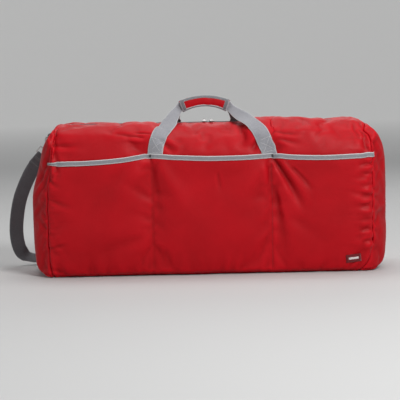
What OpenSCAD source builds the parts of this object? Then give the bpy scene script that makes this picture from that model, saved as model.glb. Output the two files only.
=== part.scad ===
// Padded carry bag for a long instrument: a soft fabric body with a zipped top, a front slip pocket,
// bound carry handles and a shoulder strap on swivel hooks.
// Origin: middle of the base. +X along the bag, -Y the pocket side, +Z up.

/* [Body] */
// Length of the filled bag
body_l = 880; // [800:1:1000]
// Depth of the filled bag, front to back
body_d = 236; // [228:1:260]
// Height of the filled bag, without the handles
body_h = 376; // [370:1:400]
// Thickness of the outer fabric
skin_t = 1.2; // [0.8:0.1:1.4]
// Thickness of the foam in the walls
foam_t = 5; // [3:0.5:5]

/* [Pocket] */
// Height of the pocket's mouth above the base
pocket_z = 300; // [280:1:302]
// Height of the grey tape that binds the mouth
binding_h = 12; // [8:1:14]

/* [Carry handles] */
// Width of the handle webbing
web_w = 38; // [30:1:40]
// Distance of each sewn end from the middle of the bag
anchor_x = 145; // [135:1:160]
// Length of the padded grip
grip_l = 120; // [110:1:130]
// Height of the grip's middle above the base
grip_z = 430; // [428:1:440]

/* [Shoulder strap] */
// Width of the strap webbing
strap_w = 36; // [30:1:38]
// Distance of each ring from the middle of the bag
ring_x = 402; // [390:1:404]

/* [Zip] */
// Length of the zip
zip_l = 700; // [500:10:700]
// Droop of a zip pull at rest, in degrees
pull_droop = 8; // [0:1:10]

/* [Hidden] */
$fn = 48;
gap = 0.3;
web_t = 2;

// Body outline: radii seen from the front, from the end and from above
corner_r = 75;
heel_r = 50;
top_r = 80;
foot_r = 30;
plan_r = 55;
end_seam_x = body_l / 2 - 30;
base_strip_h = 12;
zip_slot = 14;
tab_l = end_seam_x - zip_l / 2;
big = 2 * body_l;

// Carry handles
anchor_top = pocket_z + 41;
ridge_x = anchor_x - 51;
ridge_y = body_d / 2 - top_r;
grip_rise = 12;
arch_r = (pow(grip_l / 2, 2) + pow(grip_rise, 2)) / (2 * grip_rise);
arch_half = asin(grip_l / 2 / arch_r);
arch_z = grip_z - arch_r;
grip_half_h = 13;
grip_half_t = 9.6;
grip_core_h = 10.4;
grip_core_t = 5.8;

// Strap rings and swivel hooks
ring_y = body_d / 2 + 10;
ring_bar_z = 337;
ring_drop = 20;
ring_in_w = 32;
wire_r = 2;
hook_r = 8.2;
hook_wire_r = 2.2;
hook_lift = 2;
post_r = 1.6;
run_gap = 0.05;
eye_s = 40;
left_tilt = 42;
right_tilt = 15;
hook_z = ring_bar_z - ring_drop;
strap_floor = strap_w / 2 + 4;

// Zip sliders
slider_x = 9;
slider_l = 15;
pin_r = 0.8;
pin_z = body_h + 6.2;

red = [0.67, 0.1, 0.14];
grey = [0.6, 0.6, 0.62];
dark_grey = [0.36, 0.36, 0.38];

// ---- body ----

// Rectangle on the X axis with one radius for the lower corners and one for the upper
module rounded_outline(w, h, low, high) {
    translate([-w / 2 + low, 0]) square([w - 2 * low, h / 2]);
    translate([-w / 2, low]) square([w, h - low - high]);
    translate([-w / 2 + high, h / 2]) square([w - 2 * high, h / 2]);
    for (s = [-1, 1]) {
        translate([s * (w / 2 - low), low]) circle(r = low);
        translate([s * (w / 2 - high), h - high]) circle(r = high);
    }
}

// Whole body, shrunk by t on every side (grown where t is negative)
module body_solid(t) {
    intersection() {
        translate([0, big / 2, t]) rotate([90, 0, 0])
            linear_extrude(big) rounded_outline(body_l - 2 * t, body_h - 2 * t, heel_r - t, corner_r - t);
        translate([-big / 2, 0, t]) rotate([90, 0, 90])
            linear_extrude(big) rounded_outline(body_d - 2 * t, body_h - 2 * t, foot_r - t, top_r - t);
        translate([0, -body_d / 2 + t, -big / 2])
            linear_extrude(big) rounded_outline(body_l - 2 * t, body_d - 2 * t, plan_r - t, plan_r - t);
    }
}

// Skin between two depths below the body's surface
module layer(outer, inner) {
    difference() {
        body_solid(outer);
        body_solid(inner);
    }
}

// Box between two corners
module block(low, high) {
    translate(low) cube(high - low);
}

// Box between two corners, mirrored to the side s (-1 left, 1 right)
module side_block(s, low, high) {
    mirror([s < 0 ? 1 : 0, 0, 0]) block(low, high);
}

module wall_panel(s) {
    color(red) mirror([0, s > 0 ? 0 : 1, 0]) intersection() {
        layer(0, skin_t);
        block([-end_seam_x, zip_slot, base_strip_h], [end_seam_x, big, big]);
    }
}
module front_panel() { wall_panel(-1); }
module back_panel() { wall_panel(1); }

module bottom_panel() {
    color(red) intersection() {
        layer(0, skin_t);
        block([-end_seam_x, -big, -1], [end_seam_x, big, base_strip_h]);
    }
}

module end_panel(s) {
    color(red) intersection() {
        layer(0, skin_t);
        side_block(s, [end_seam_x, -big, -1], [big, big, big]);
    }
}
module left_end_panel() { end_panel(-1); }
module right_end_panel() { end_panel(1); }

// ---- padding and lining ----

module wall_foam(s) {
    pad_y = body_d / 2 - skin_t - gap;
    color("dimgray") mirror([0, s > 0 ? 0 : 1, 0])
        block([-375, pad_y - foam_t, 36], [375, pad_y, body_h - top_r - 4]);
}
module front_foam_pad() { wall_foam(-1); }
module back_foam_pad() { wall_foam(1); }

module bottom_foam_pad() {
    color("dimgray") block([-385, -84, skin_t + gap], [385, 84, 4.2]);
}
module bottom_board() {
    color("black") block([-385, -84, 4.5], [385, 84, 6.5]);
}

module end_foam(s) {
    pad_x = body_l / 2 - skin_t - gap;
    color("dimgray") side_block(s, [pad_x - foam_t, -60, 54], [pad_x, 60, body_h - corner_r - 4]);
}
module left_foam_pad() { end_foam(-1); }
module right_foam_pad() { end_foam(1); }

module lining() {
    lining_in = skin_t + foam_t + 2 * gap;
    color("slategray") difference() {
        layer(lining_in, lining_in + 0.8);
        block([-zip_l / 2, -zip_slot, body_h / 2], [zip_l / 2, zip_slot, big]);
    }
}

// ---- pocket ----

module front_pocket() {
    color(red) intersection() {
        layer(-gap - 1, -gap);
        block([-end_seam_x + 2, -big, base_strip_h + 2], [end_seam_x - 2, -40, pocket_z]);
    }
}

module pocket_binding() {
    color(grey) intersection() {
        layer(-2 * gap - 2.2, -2 * gap - 1);
        block([-end_seam_x + 2, -big, pocket_z - binding_h / 2], [end_seam_x - 2, -40, pocket_z + binding_h / 2]);
    }
}

module woven_label() {
    color("maroon") intersection() {
        layer(-2 * gap - 1.8, -2 * gap - 1);
        block([340, -big, 27], [378, -40, 47]);
    }
}

// ---- zip ----

module zip_tab(s) {
    color(red) intersection() {
        layer(0, skin_t);
        side_block(s, [end_seam_x - tab_l, -zip_slot, body_h / 2], [end_seam_x, zip_slot, big]);
    }
}
module left_zip_tab() { zip_tab(-1); }
module right_zip_tab() { zip_tab(1); }

module zip_tape(s) {
    color("dimgray") mirror([0, s > 0 ? 0 : 1, 0])
        block([-zip_l / 2, 3.6, body_h - 1.2], [zip_l / 2, zip_slot - 0.1, body_h - 0.2]);
}
module front_zip_tape() { zip_tape(-1); }
module back_zip_tape() { zip_tape(1); }

module zip_coil(s) {
    color("gray") mirror([0, s > 0 ? 0 : 1, 0])
        block([-zip_l / 2 + 5, 1, body_h - 2], [zip_l / 2 - 5, 3.5, body_h + 0.6]);
}
module front_zip_coil() { zip_coil(-1); }
module back_zip_coil() { zip_coil(1); }

module zip_stops() {
    color("silver") for (s = [-1, 1])
        side_block(s, [zip_l / 2 - 4.5, -3.4, body_h - 2.2], [zip_l / 2 - 1, 3.4, body_h + 0.8]);
}

// Two plates joined by a post between the coils, with two lugs and a pin for the pull
module zip_slider(s) {
    plate_y = 5.5;
    low_z = body_h - 3.8;
    top_z = body_h + 1;
    color("silver") translate([s * slider_x, 0, 0]) {
        block([-slider_l / 2, -plate_y, low_z], [slider_l / 2, plate_y, low_z + 1.2]);
        block([-slider_l / 2, -plate_y, top_z], [slider_l / 2, plate_y, top_z + 1.2]);
        block([-2, -0.7, low_z + 1], [2, 0.7, top_z + 0.1]);
        for (side = [-1, 1])
            side_block(side, [2.6, -1.6, top_z + 1.1], [4, 1.6, pin_z + 1.4]);
        translate([-3.8, 0, pin_z]) rotate([0, 90, 0]) cylinder(h = 7.6, r = pin_r);
    }
}
module left_zip_slider() { zip_slider(-1); }
module right_zip_slider() { zip_slider(1); }

// Barrel on the slider's pin and a flat tab with a padlock hole, drooping over the front
module zip_pull(s) {
    color("silver") translate([s * slider_x, 0, pin_z]) rotate([pull_droop, 0, 0])
        difference() {
            union() {
                translate([-2.4, 0, 0]) rotate([0, 90, 0]) cylinder(h = 4.8, r = 1.6);
                block([-2.3, -5, -0.7], [2.3, 0, 0.7]);
                block([-3.5, -20, -0.7], [3.5, -4, 0.7]);
                translate([0, -20, -0.7]) cylinder(h = 1.4, r = 3.5);
            }
            translate([-3, 0, 0]) rotate([0, 90, 0]) cylinder(h = 6, r = pin_r + run_gap);
            translate([0, -19, -2]) cylinder(h = 4, r = 2);
        }
}
module left_zip_pull() { zip_pull(-1); }
module right_zip_pull() { zip_pull(1); }

// ---- carry handles ----

// Front view of one sewn end: upright at the stitched box, then leaning in to the ridge
module anchor_outline(s) {
    low = pocket_z + binding_h / 2 + 1;
    half = web_w / 2;
    polygon([[s * (anchor_x - half), low], [s * (anchor_x + half), low],
             [s * (anchor_x + half), anchor_top], [s * (ridge_x + half + 3), body_h + 4],
             [s * (ridge_x - half - 3), body_h + 4], [s * (anchor_x - half), anchor_top]]);
}

module handle_anchors(s) {
    color(grey) intersection() {
        layer(-gap - web_t, -gap);
        for (side = [-1, 1])
            rotate([90, 0, 0]) linear_extrude(big, center = true) anchor_outline(side);
        mirror([0, s > 0 ? 0 : 1, 0]) block([-big, ridge_y, 0], [big, big, big]);
    }
}
module front_handle_anchors() { handle_anchors(-1); }
module back_handle_anchors() { handle_anchors(1); }

// Sector of the grip's arch: a profile with x away from the arch's centre and y towards the front
module grip_sector(half_angle) {
    translate([0, 0, arch_z]) rotate([90, 0, 0]) rotate([0, 0, 90 - half_angle])
        rotate_extrude(angle = 2 * half_angle) translate([arch_r, 0]) children();
}

// Webbing folded to half its width inside the grip, with a flat leg from just beyond each of the grip's
// ends down to the ridge; beyond is in degrees along the arch
module handle_webbing(s) {
    beyond = 4;
    leg_top_x = grip_l / 2 + 11;
    leg_top_half = 9;
    leg_top_y = 2.4;
    leg_top_z = arch_z + arch_r * cos(arch_half) - 3;
    leg_low_y = ridge_y;
    leg_low_z = body_h + gap + web_t / 2;
    rise = leg_top_z - leg_low_z;
    run = leg_low_y - leg_top_y;
    leg_l = sqrt(rise * rise + run * run);
    lean = atan2(run, rise);
    half = web_w / 2;
    color(grey) mirror([0, s > 0 ? 1 : 0, 0]) {
        grip_sector(arch_half + beyond) block_2d(-9.5, 0.4, 9.5, 4.2);
        for (side = [-1, 1])
            translate([0, -leg_low_y, leg_low_z]) rotate([90 - lean, 0, 0])
                linear_extrude(web_t, center = true)
                    polygon([[side * (ridge_x - half), 1.2], [side * (ridge_x + half), 1.2],
                             [side * (leg_top_x + leg_top_half), leg_l],
                             [side * (leg_top_x - leg_top_half), leg_l]]);
    }
}
module block_2d(x0, y0, x1, y1) {
    translate([x0, y0]) square([x1 - x0, y1 - y0]);
}
module front_handle_webbing() { handle_webbing(-1); }
module back_handle_webbing() { handle_webbing(1); }

// Cross-section of the padded grip, grown by t
module grip_oval(t) {
    r = 6;
    w = grip_half_h - r;
    h = grip_half_t - r;
    block_2d(-w - r - t, -h, w + r + t, h);
    block_2d(-w, -h - r - t, w, h + r + t);
    for (x = [-w, w], y = [-h, h])
        translate([x, y]) circle(r = r + t);
}
module grip_ring() {
    difference() {
        grip_oval(0);
        block_2d(-grip_core_h, -grip_core_t, grip_core_h, grip_core_t);
    }
}

module grip_wrap() {
    color(red) grip_sector(arch_half) intersection() {
        grip_ring();
        union() {
            block_2d(-20, -20, 20, 0.8);
            block_2d(-20, -20, -9.2, 20);
        }
    }
}
module grip_flap() {
    color(red) grip_sector(arch_half) intersection() {
        grip_ring();
        block_2d(-9, 1, 20, 20);
    }
}

// Grey tape on the flap's free edge and both its ends
module grip_binding() {
    color(grey) difference() {
        grip_sector(arch_half) intersection() {
            grip_tape_section();
            block_2d(-9, 1, 20, 20);
        }
        grip_sector(arch_half - 3) block_2d(-10, 0, 9, 21);
    }
}
module grip_tape_section() {
    difference() {
        grip_oval(1);
        grip_oval(0.1);
    }
}
module grip_loop_strip() {
    color("dimgray") grip_sector(arch_half - 2) block_2d(-7, 4.4, 7, 4.9);
}
module grip_hook_strip() {
    color("black") grip_sector(arch_half - 2) block_2d(-7, 5.1, 7, 5.7);
}

// ---- shoulder strap hardware ----

// Webbing loop that comes down from the top corner of the back and turns round the ring's bar
module ring_tab(s) {
    tab_w = 25;
    tab_l = 38;
    color(grey) translate([s * ring_x, ring_y, ring_bar_z]) rotate([90, 0, 90])
        linear_extrude(tab_w, center = true) difference() {
            union() {
                circle(r = 4.2);
                rotate(-30) block_2d(-tab_l, -1.9, -2.5, 1.9);
            }
            circle(r = wire_r + run_gap);
        }
}
module left_ring_tab() { ring_tab(-1); }
module right_ring_tab() { ring_tab(1); }

// Rectangular wire ring, hanging from its upper bar
module strap_ring(s) {
    bend_r = 5;
    half = ring_in_w / 2 + wire_r;
    color("silver") translate([s * ring_x, ring_y, ring_bar_z]) {
        for (z = [0, -ring_drop])
            translate([0, 0, z]) rotate([0, 90, 0])
                cylinder(h = 2 * (half - bend_r), r = wire_r, center = true);
        for (x = [-half, half])
            translate([x, 0, -ring_drop + bend_r]) cylinder(h = ring_drop - 2 * bend_r, r = wire_r);
        for (side = [-1, 1], up = [0, 1])
            translate([side * (half - bend_r), 0, up ? -bend_r : bend_r - ring_drop])
                rotate([90, 0, 0]) rotate([0, 0, side > 0 ? (up ? 0 : 270) : (up ? 90 : 180)])
                    rotate_extrude(angle = 90) translate([bend_r, 0]) circle(r = wire_r);
    }
}
module left_ring() { strap_ring(-1); }
module right_ring() { strap_ring(1); }

// Places a hook's own frame: origin on the ring's lower wire, -Z along the hook to the strap
module at_hook(s) {
    translate([s * ring_x, ring_y, hook_z]) rotate([0, s < 0 ? left_tilt : right_tilt, 0]) children();
}

// Open loop round the ring, shank, swivel post and its riveted head
module swivel_hook(s) {
    color("silver") at_hook(s) {
        translate([0, 0, -hook_lift]) rotate([90, 0, 90]) rotate([0, 0, 24])
            rotate_extrude(angle = 266) translate([hook_r, 0]) circle(r = hook_wire_r);
        translate([0, 0, -19]) cylinder(h = 8, r = 3);
        translate([0, 0, -26]) cylinder(h = 8, r = post_r);
        translate([0, 0, -27]) cylinder(h = 1.6, r = 2.8);
    }
}
module left_hook() { swivel_hook(-1); }
module right_hook() { swivel_hook(1); }

// Straight sprung bar across the hook's mouth
module hook_gate(s) {
    gate_y = 4.6;
    gate_z = -hook_lift - 6.8;
    gate_l = 8.9;
    gate_lean = 21;
    color("silver") at_hook(s) translate([0, gate_y, gate_z]) rotate([-gate_lean, 0, 0])
        cylinder(h = gate_l, r = 1.4);
}
module left_hook_gate() { hook_gate(-1); }
module right_hook_gate() { hook_gate(1); }

// Collar on the hook's post and a flat frame that holds the strap
module strap_eye(s) {
    frame_w = strap_w / 2 + 4;
    color("silver") at_hook(s) difference() {
        union() {
            translate([0, 0, -24.8]) cylinder(h = 5.5, r = 4.2);
            for (side = [-1, 1]) {
                side_block(side, [3.4, -1.6, -24.8], [frame_w, 1.6, -21.4]);
                side_block(side, [frame_w - 3, -1.6, -eye_s - 1.5], [frame_w, 1.6, -21.4]);
            }
            translate([-frame_w + 1, 0, -eye_s]) rotate([0, 90, 0]) cylinder(h = 2 * frame_w - 2, r = 1.8);
        }
        translate([0, 0, -30]) cylinder(h = 12, r = post_r + run_gap);
    }
}
module left_strap_eye() { strap_eye(-1); }
module right_strap_eye() { strap_eye(1); }

// ---- shoulder strap ----

function bezier(p, t) = pow(1 - t, 3) * p[0] + 3 * pow(1 - t, 2) * t * p[1]
                        + 3 * (1 - t) * t * t * p[2] + t * t * t * p[3];
function bezier_way(p, t) = let (d = 3 * pow(1 - t, 2) * (p[1] - p[0]) + 6 * (1 - t) * t * (p[2] - p[1])
                                 + 3 * t * t * (p[3] - p[2])) d / norm(d);
function across(d) = [-d[1], d[0]];

// Where the strap leaves its eye, seen from the front
function strap_end(s, tilt) = [s * ring_x - eye_s * sin(tilt), hook_z - eye_s * cos(tilt)];
left_end = strap_end(-1, left_tilt);
right_end = strap_end(1, right_tilt);

// The strap's two bends: out past the left end and down, and up behind the right end
left_bend = [left_end, left_end + [-71, -82], [left_end[0] - 116, strap_floor], [-430, strap_floor]];
right_bend = [[300, strap_floor], [385, strap_floor], right_end - [22, 82], right_end];

// Flat band of the strap's width along a bend
module band_outline(p) {
    steps = 24;
    half = strap_w / 2;
    polygon(concat(
        [for (i = [0:steps]) bezier(p, i / steps) + half * across(bezier_way(p, i / steps))],
        [for (i = [steps:-1:0]) bezier(p, i / steps) - half * across(bezier_way(p, i / steps))]));
}

// Loop of the strap's end round the eye's bar
module strap_loop(s) {
    at_hook(s) translate([0, 0, -eye_s]) rotate([0, 90, 0]) difference() {
        cylinder(h = strap_w, r = 4, center = true);
        cylinder(h = strap_w + 2, r = 1.9, center = true);
    }
}

module shoulder_strap() {
    floor_low = strap_floor - strap_w / 2;
    floor_high = strap_floor + strap_w / 2;
    color(dark_grey) {
        difference() {
            translate([0, ring_y + web_t / 2, 0]) rotate([90, 0, 0]) linear_extrude(web_t) {
                band_outline(left_bend);
                block_2d(-431, floor_low, 301, floor_high);
                band_outline(right_bend);
            }
            for (s = [-1, 1])
                at_hook(s) translate([0, 0, -eye_s]) rotate([0, 90, 0])
                    cylinder(h = 3 * strap_w, r = 3.9, center = true);
        }
        strap_loop(-1);
        strap_loop(1);
    }
}

// Three-bar buckle lying on the strap behind the bag
module strap_adjuster() {
    buckle_y = ring_y + web_t / 2 + gap;
    color("dimgray") difference() {
        block([60, buckle_y, strap_floor - 23], [90, buckle_y + 3, strap_floor + 23]);
        for (x = [64, 77])
            block([x, buckle_y - 1, strap_floor - 19], [x + 9, buckle_y + 4, strap_floor + 19]);
    }
}

front_panel();
back_panel();
bottom_panel();
left_end_panel();
right_end_panel();
front_foam_pad();
back_foam_pad();
bottom_foam_pad();
left_foam_pad();
right_foam_pad();
bottom_board();
lining();
front_pocket();
pocket_binding();
woven_label();
left_zip_tab();
right_zip_tab();
front_zip_tape();
back_zip_tape();
front_zip_coil();
back_zip_coil();
zip_stops();
left_zip_slider();
right_zip_slider();
left_zip_pull();
right_zip_pull();
front_handle_anchors();
back_handle_anchors();
front_handle_webbing();
back_handle_webbing();
grip_wrap();
grip_loop_strip();
grip_flap();
grip_binding();
grip_hook_strip();
left_ring_tab();
right_ring_tab();
left_ring();
right_ring();
left_hook();
right_hook();
left_hook_gate();
right_hook_gate();
left_strap_eye();
right_strap_eye();
shoulder_strap();
strap_adjuster();
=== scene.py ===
import math
import bmesh
import bpy
import numpy as np
from mathutils import Vector, Matrix, noise
from mathutils.bvhtree import BVHTree


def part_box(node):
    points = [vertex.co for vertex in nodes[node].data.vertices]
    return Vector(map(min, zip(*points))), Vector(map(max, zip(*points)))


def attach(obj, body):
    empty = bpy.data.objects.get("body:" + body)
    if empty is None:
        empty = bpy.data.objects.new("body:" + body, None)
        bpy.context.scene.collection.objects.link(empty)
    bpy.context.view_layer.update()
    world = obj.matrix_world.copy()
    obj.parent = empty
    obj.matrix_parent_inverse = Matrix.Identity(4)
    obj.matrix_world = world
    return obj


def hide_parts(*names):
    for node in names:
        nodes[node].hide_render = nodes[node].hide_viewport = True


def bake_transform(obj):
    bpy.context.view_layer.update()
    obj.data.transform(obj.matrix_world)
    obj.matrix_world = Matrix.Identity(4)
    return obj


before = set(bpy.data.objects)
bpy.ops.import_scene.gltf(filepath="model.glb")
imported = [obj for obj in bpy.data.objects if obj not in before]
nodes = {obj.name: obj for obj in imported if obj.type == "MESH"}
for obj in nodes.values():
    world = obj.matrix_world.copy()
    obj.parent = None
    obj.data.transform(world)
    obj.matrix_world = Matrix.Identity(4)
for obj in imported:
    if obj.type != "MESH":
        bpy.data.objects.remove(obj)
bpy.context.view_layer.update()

MM = 0.001

# ---------------------------------------------------------------- sizes, all taken from the frame
half_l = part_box("right_end_panel")[1].x
half_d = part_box("back_panel")[1].y
top_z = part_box("front_panel")[1].z
seam_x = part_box("front_panel")[1].x
base_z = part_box("bottom_panel")[1].z
slot_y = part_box("back_panel")[0].y
zip_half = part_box("front_zip_tape")[1].x
band_low, band_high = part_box("pocket_binding")
band_z = (band_low.z + band_high.z) / 2
band_h = band_high.z - band_low.z
web_w, strap_w, grip_tape_w = 38 * MM, 36 * MM, 9.2 * MM
anchor_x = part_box("front_handle_anchors")[1].x - web_w / 2
grip_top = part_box("grip_wrap")[1].z
ring_low, ring_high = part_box("left_ring")


def mm(*values):
    """Millimetres as metres."""
    return [value * MM for value in values]


def pair(name):
    """Names of the left and the right part of a kind."""
    return "left_" + name, "right_" + name


# ---------------------------------------------------------------- node-based materials
class Look:
    """A material being made, with short ways to add nodes to it."""

    def __init__(self, name):
        self.material = bpy.data.materials.new(name)
        self.material.use_nodes = True
        self.tree = self.material.node_tree
        self.shader = self.tree.nodes["Principled BSDF"]

    def plug(self, socket, value):
        """Links a socket to an input, or sets the input to a number or a colour."""
        if isinstance(value, bpy.types.NodeSocket):
            self.tree.links.new(value, socket)
        else:
            socket.default_value = value

    def feed(self, node, **inputs):
        """Fills a node's inputs by name, with an underscore for each space."""
        for key, value in inputs.items():
            self.plug(node.inputs[key.replace("_", " ")], value)

    def finish(self, **inputs):
        """Fills the shader's inputs and returns the material."""
        self.feed(self.shader, **inputs)
        return self.material

    def node(self, kind, **inputs):
        made = self.tree.nodes.new("ShaderNode" + kind)
        self.feed(made, **inputs)
        return made

    def place(self, kind="Object"):
        return self.node("TexCoord").outputs[kind]

    def math(self, operation, *values):
        made = self.node("Math")
        made.operation = operation
        for socket, value in zip(made.inputs, values):
            self.plug(socket, value)
        return made.outputs[0]

    def mix(self, factor, low, high):
        """Colour between low and high by a factor socket."""
        made = self.node("Mix")
        made.data_type = "RGBA"
        self.plug(made.inputs["Factor"], factor)
        for socket, value in zip([s for s in made.inputs if s.type == "RGBA"], (low, high)):
            self.plug(socket, (*value, 1.0) if isinstance(value, tuple) else value)
        return [s for s in made.outputs if s.type == "RGBA"][0]

    def blend(self, a, share_a, b, share_b):
        """Weighted sum of two sockets."""
        return self.math("ADD", self.math("MULTIPLY", a, share_a), self.math("MULTIPLY", b, share_b))

    def noise(self, place, scale, detail=4.0, roughness=0.55):
        made = self.node("TexNoise", Vector=place, Scale=scale, Detail=detail, Roughness=roughness)
        return made.outputs["Fac"]

    def remap(self, value, low, high, to_low=0.0, to_high=1.0):
        made = self.node("MapRange", Value=value, From_Min=low, From_Max=high,
                         To_Min=to_low, To_Max=to_high)
        return made.outputs["Result"]

    def bump(self, height, strength, distance, normal=None):
        made = self.node("Bump", Height=height, Strength=strength, Distance=distance)
        if normal is not None:
            self.feed(made, Normal=normal)
        return made.outputs["Normal"]

    def wave(self, value, pitch):
        return self.math("SINE", self.math("MULTIPLY", value, 2 * math.pi / pitch))

    def weave(self, place, across, along):
        """Height of a plain weave: two crossed sets of threads, each passing over and under."""
        x, y, _ = self.node("SeparateXYZ", Vector=place).outputs
        return self.math("MULTIPLY", self.wave(x, across), self.wave(y, along))


def darker(colour, share):
    return tuple(share * c for c in colour)


def nylon_material(name, base, dark, thread, roughness, sheen):
    """Thin coated nylon: fine plain weave, slow colour drift, crinkle in the coating, and painted shade and
    highlight from its curvature.
    """
    look = Look(name)
    place = look.place()
    # Painted shade and highlight: the pointiness makes the colour darker in creases, folds and seam grooves
    # and lighter on ridges and edges.
    edge = look.remap(look.node("NewGeometry").outputs["Pointiness"], 0.46, 0.54)
    tone = look.blend(look.noise(place, 9.0, 3.0), 0.5, edge, 0.5)
    fine = look.bump(look.weave(place, thread, thread), 0.12, 0.12 * MM)
    return look.finish(
        Base_Color=look.mix(look.remap(tone, 0.3, 0.75), dark, base),
        Roughness=look.remap(look.noise(place, 40.0), 0.3, 0.7, roughness - 0.05, roughness + 0.07),
        Specular_IOR_Level=0.15, Sheen_Weight=sheen, Sheen_Roughness=0.45, Sheen_Tint=(1.0, 0.62, 0.62, 1.0),
        Normal=look.bump(look.noise(place, 150.0, 3.0, 0.5), 0.25, 1.2 * MM, fine))


def webbing_material(name, base, light, width, rib=1.6 * MM, edge_share=0.10):
    """Flat woven webbing on UVs in metres (U across, V along): ribs, weave, and a second colour along both
    edges.
    """
    look = Look(name)
    uv = look.place("UV")
    across, along, _ = look.node("SeparateXYZ", Vector=uv).outputs
    edge = look.remap(look.math("ABSOLUTE", across), width * (0.5 - edge_share),
                      width * (0.5 - edge_share * 0.4))
    ribs = look.math("MULTIPLY", look.wave(along, rib), 0.35)
    height = look.math("ADD", ribs, look.weave(uv, 1.1 * MM, rib))
    fuzz = look.noise(uv, 220.0, 4.0, 0.7)
    tone = look.blend(fuzz, 0.7, look.noise(uv, 22.0, 2.0), 0.3)
    body = look.mix(look.remap(tone, 0.3, 0.7), darker(base, 0.72), base)
    return look.finish(
        Base_Color=look.mix(edge, body, light), Roughness=0.72, Specular_IOR_Level=0.3,
        Sheen_Weight=0.25, Sheen_Roughness=0.5,
        Normal=look.bump(fuzz, 0.2, 0.3 * MM, look.bump(height, 0.5, 0.3 * MM)))


def thread_material(name, colour):
    look = Look(name)
    twist = look.noise(look.place(), 900.0, 2.0)
    return look.finish(Base_Color=look.mix(twist, darker(colour, 0.6), colour), Roughness=0.6)


def metal_material(name, colour, roughness):
    """Nickel plate with fine scratches and small changes of gloss."""
    look = Look(name)
    place = look.place()
    patches = look.noise(place, 130.0, 5.0)
    return look.finish(
        Metallic=1.0, Base_Color=look.mix(patches, darker(colour, 0.75), colour),
        Roughness=look.remap(patches, 0.3, 0.7, roughness - 0.06, roughness + 0.12),
        Normal=look.bump(look.noise(place, 1400.0, 2.0), 0.15, 0.1 * MM))


def plain_look(name, colour, roughness, grain_scale, grain_depth, sheen=0.0):
    """Matte stuff such as foam, board or lining, with a fine grain and slow colour drift."""
    look = Look(name)
    grain = look.noise(look.place(), grain_scale, 3.0)
    look.finish(Base_Color=look.mix(grain, darker(colour, 0.65), colour), Roughness=roughness,
                Sheen_Weight=sheen, Normal=look.bump(grain, 0.4, grain_depth * MM))
    return look


nylon = nylon_material("red_nylon", (0.47, 0.002, 0.008), (0.30, 0.001, 0.004), 0.7 * MM, 0.5, 0.0)
webbing = webbing_material("grey_webbing", (0.30, 0.30, 0.325), (0.44, 0.44, 0.455), web_w, 1.6 * MM, 0.06)
strap_web = webbing_material("strap_webbing", (0.115, 0.115, 0.125), (0.13, 0.13, 0.14), strap_w)
tape = webbing_material("grosgrain_tape", (0.26, 0.26, 0.28), (0.52, 0.52, 0.53), band_h, 1.0 * MM, 0.22)
zip_cloth = nylon_material("zip_tape", (0.06, 0.06, 0.065), (0.04, 0.04, 0.045), 0.6 * MM, 0.7, 0.2)
dark_web = webbing_material("webbing_underside", (0.028, 0.028, 0.031), (0.035, 0.035, 0.038), web_w)
grip_tape = webbing_material("grip_tape", (0.17, 0.17, 0.185), (0.36, 0.36, 0.38), grip_tape_w, 1.0 * MM, 0.10)
pale_thread = thread_material("pale_thread", (0.62, 0.62, 0.62))
grey_thread = thread_material("grey_thread", (0.42, 0.42, 0.44))
dark_thread = thread_material("dark_thread", (0.05, 0.05, 0.055))
red_thread = thread_material("red_thread", (0.30, 0.008, 0.014))
nickel = metal_material("nickel_plate", (0.58, 0.57, 0.56), 0.33)
coil_plastic = plain_look("zip_coil_nylon", (0.10, 0.10, 0.11), 0.45, 600.0, 0.1).material
lining_cloth = plain_look("lining_cloth", (0.09, 0.09, 0.10), 0.7, 500.0, 0.2, 0.2).material
foam_stuff = plain_look("closed_cell_foam", (0.16, 0.16, 0.17), 0.9, 900.0, 0.4).material
board_stuff = plain_look("base_board", (0.03, 0.03, 0.032), 0.6, 300.0, 0.2).material
pile_stuff = plain_look("hook_and_loop_pile", (0.03, 0.03, 0.034), 0.95, 1500.0, 0.8, 0.4).material
buckle_plastic = plain_look("buckle_plastic", (0.035, 0.035, 0.038), 0.4, 700.0, 0.1).material


# ---------------------------------------------------------------- mesh helpers
def mesh_object(name, points, faces, material):
    mesh = bpy.data.meshes.new(name)
    mesh.from_pydata([tuple(p) for p in points], [], faces)
    mesh.update()
    mesh.materials.append(material)
    mesh.shade_smooth()
    made = bpy.data.objects.new(name, mesh)
    bpy.context.scene.collection.objects.link(made)
    return made


def loft_faces(rings, size, start=0):
    """Quads between closed rings of size points each."""
    return [(start + r * size + k, start + r * size + (k + 1) % size,
             start + (r + 1) * size + (k + 1) % size, start + (r + 1) * size + k)
            for r in range(rings - 1) for k in range(size)]


def lay_uvs(piece, across, along):
    """UVs in metres on a grid of points: across by column, along by row."""
    layer = piece.data.uv_layers.new(name="UVMap")
    for loop in piece.data.loops:
        row, column = divmod(loop.vertex_index, len(across))
        layer.data[loop.index].uv = (across[column], along[row])


def finish_piece(piece, body, slot_name, *replaced):
    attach(piece, body)
    if replaced:
        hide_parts(*replaced)


def apply_modifiers(piece):
    """Turns the piece's modifiers into plain mesh."""
    depsgraph = bpy.context.evaluated_depsgraph_get()
    depsgraph.update()
    final = bpy.data.meshes.new_from_object(piece.evaluated_get(depsgraph))
    piece.modifiers.clear()
    piece.data = final
    return piece


def thicken(piece, thickness):
    """Gives a sheet its thickness, inwards."""
    solid = piece.modifiers.new("thickness", "SOLIDIFY")
    solid.thickness = thickness
    solid.offset = -1.0
    solid.use_even_offset = False
    return apply_modifiers(piece)


def patch(name, faces, points, material):
    """Mesh of some of the body's faces."""
    used = sorted({i for face in faces for i in face})
    renumber = {old: new for new, old in enumerate(used)}
    return mesh_object(name, [points[i] for i in used], [[renumber[i] for i in f] for f in faces], material)


def skin_layer(name, faces, points, material, thickness, slot_name, *replaced):
    """Fixed piece that follows some of the body's faces."""
    piece = patch(name, faces, points, material)
    finish_piece(thicken(piece, thickness), "root", slot_name, *replaced)


def smoothstep(low, high, value):
    t = min(1.0, max(0.0, (value - low) / (high - low)))
    return t * t * (3 - 2 * t)


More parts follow.
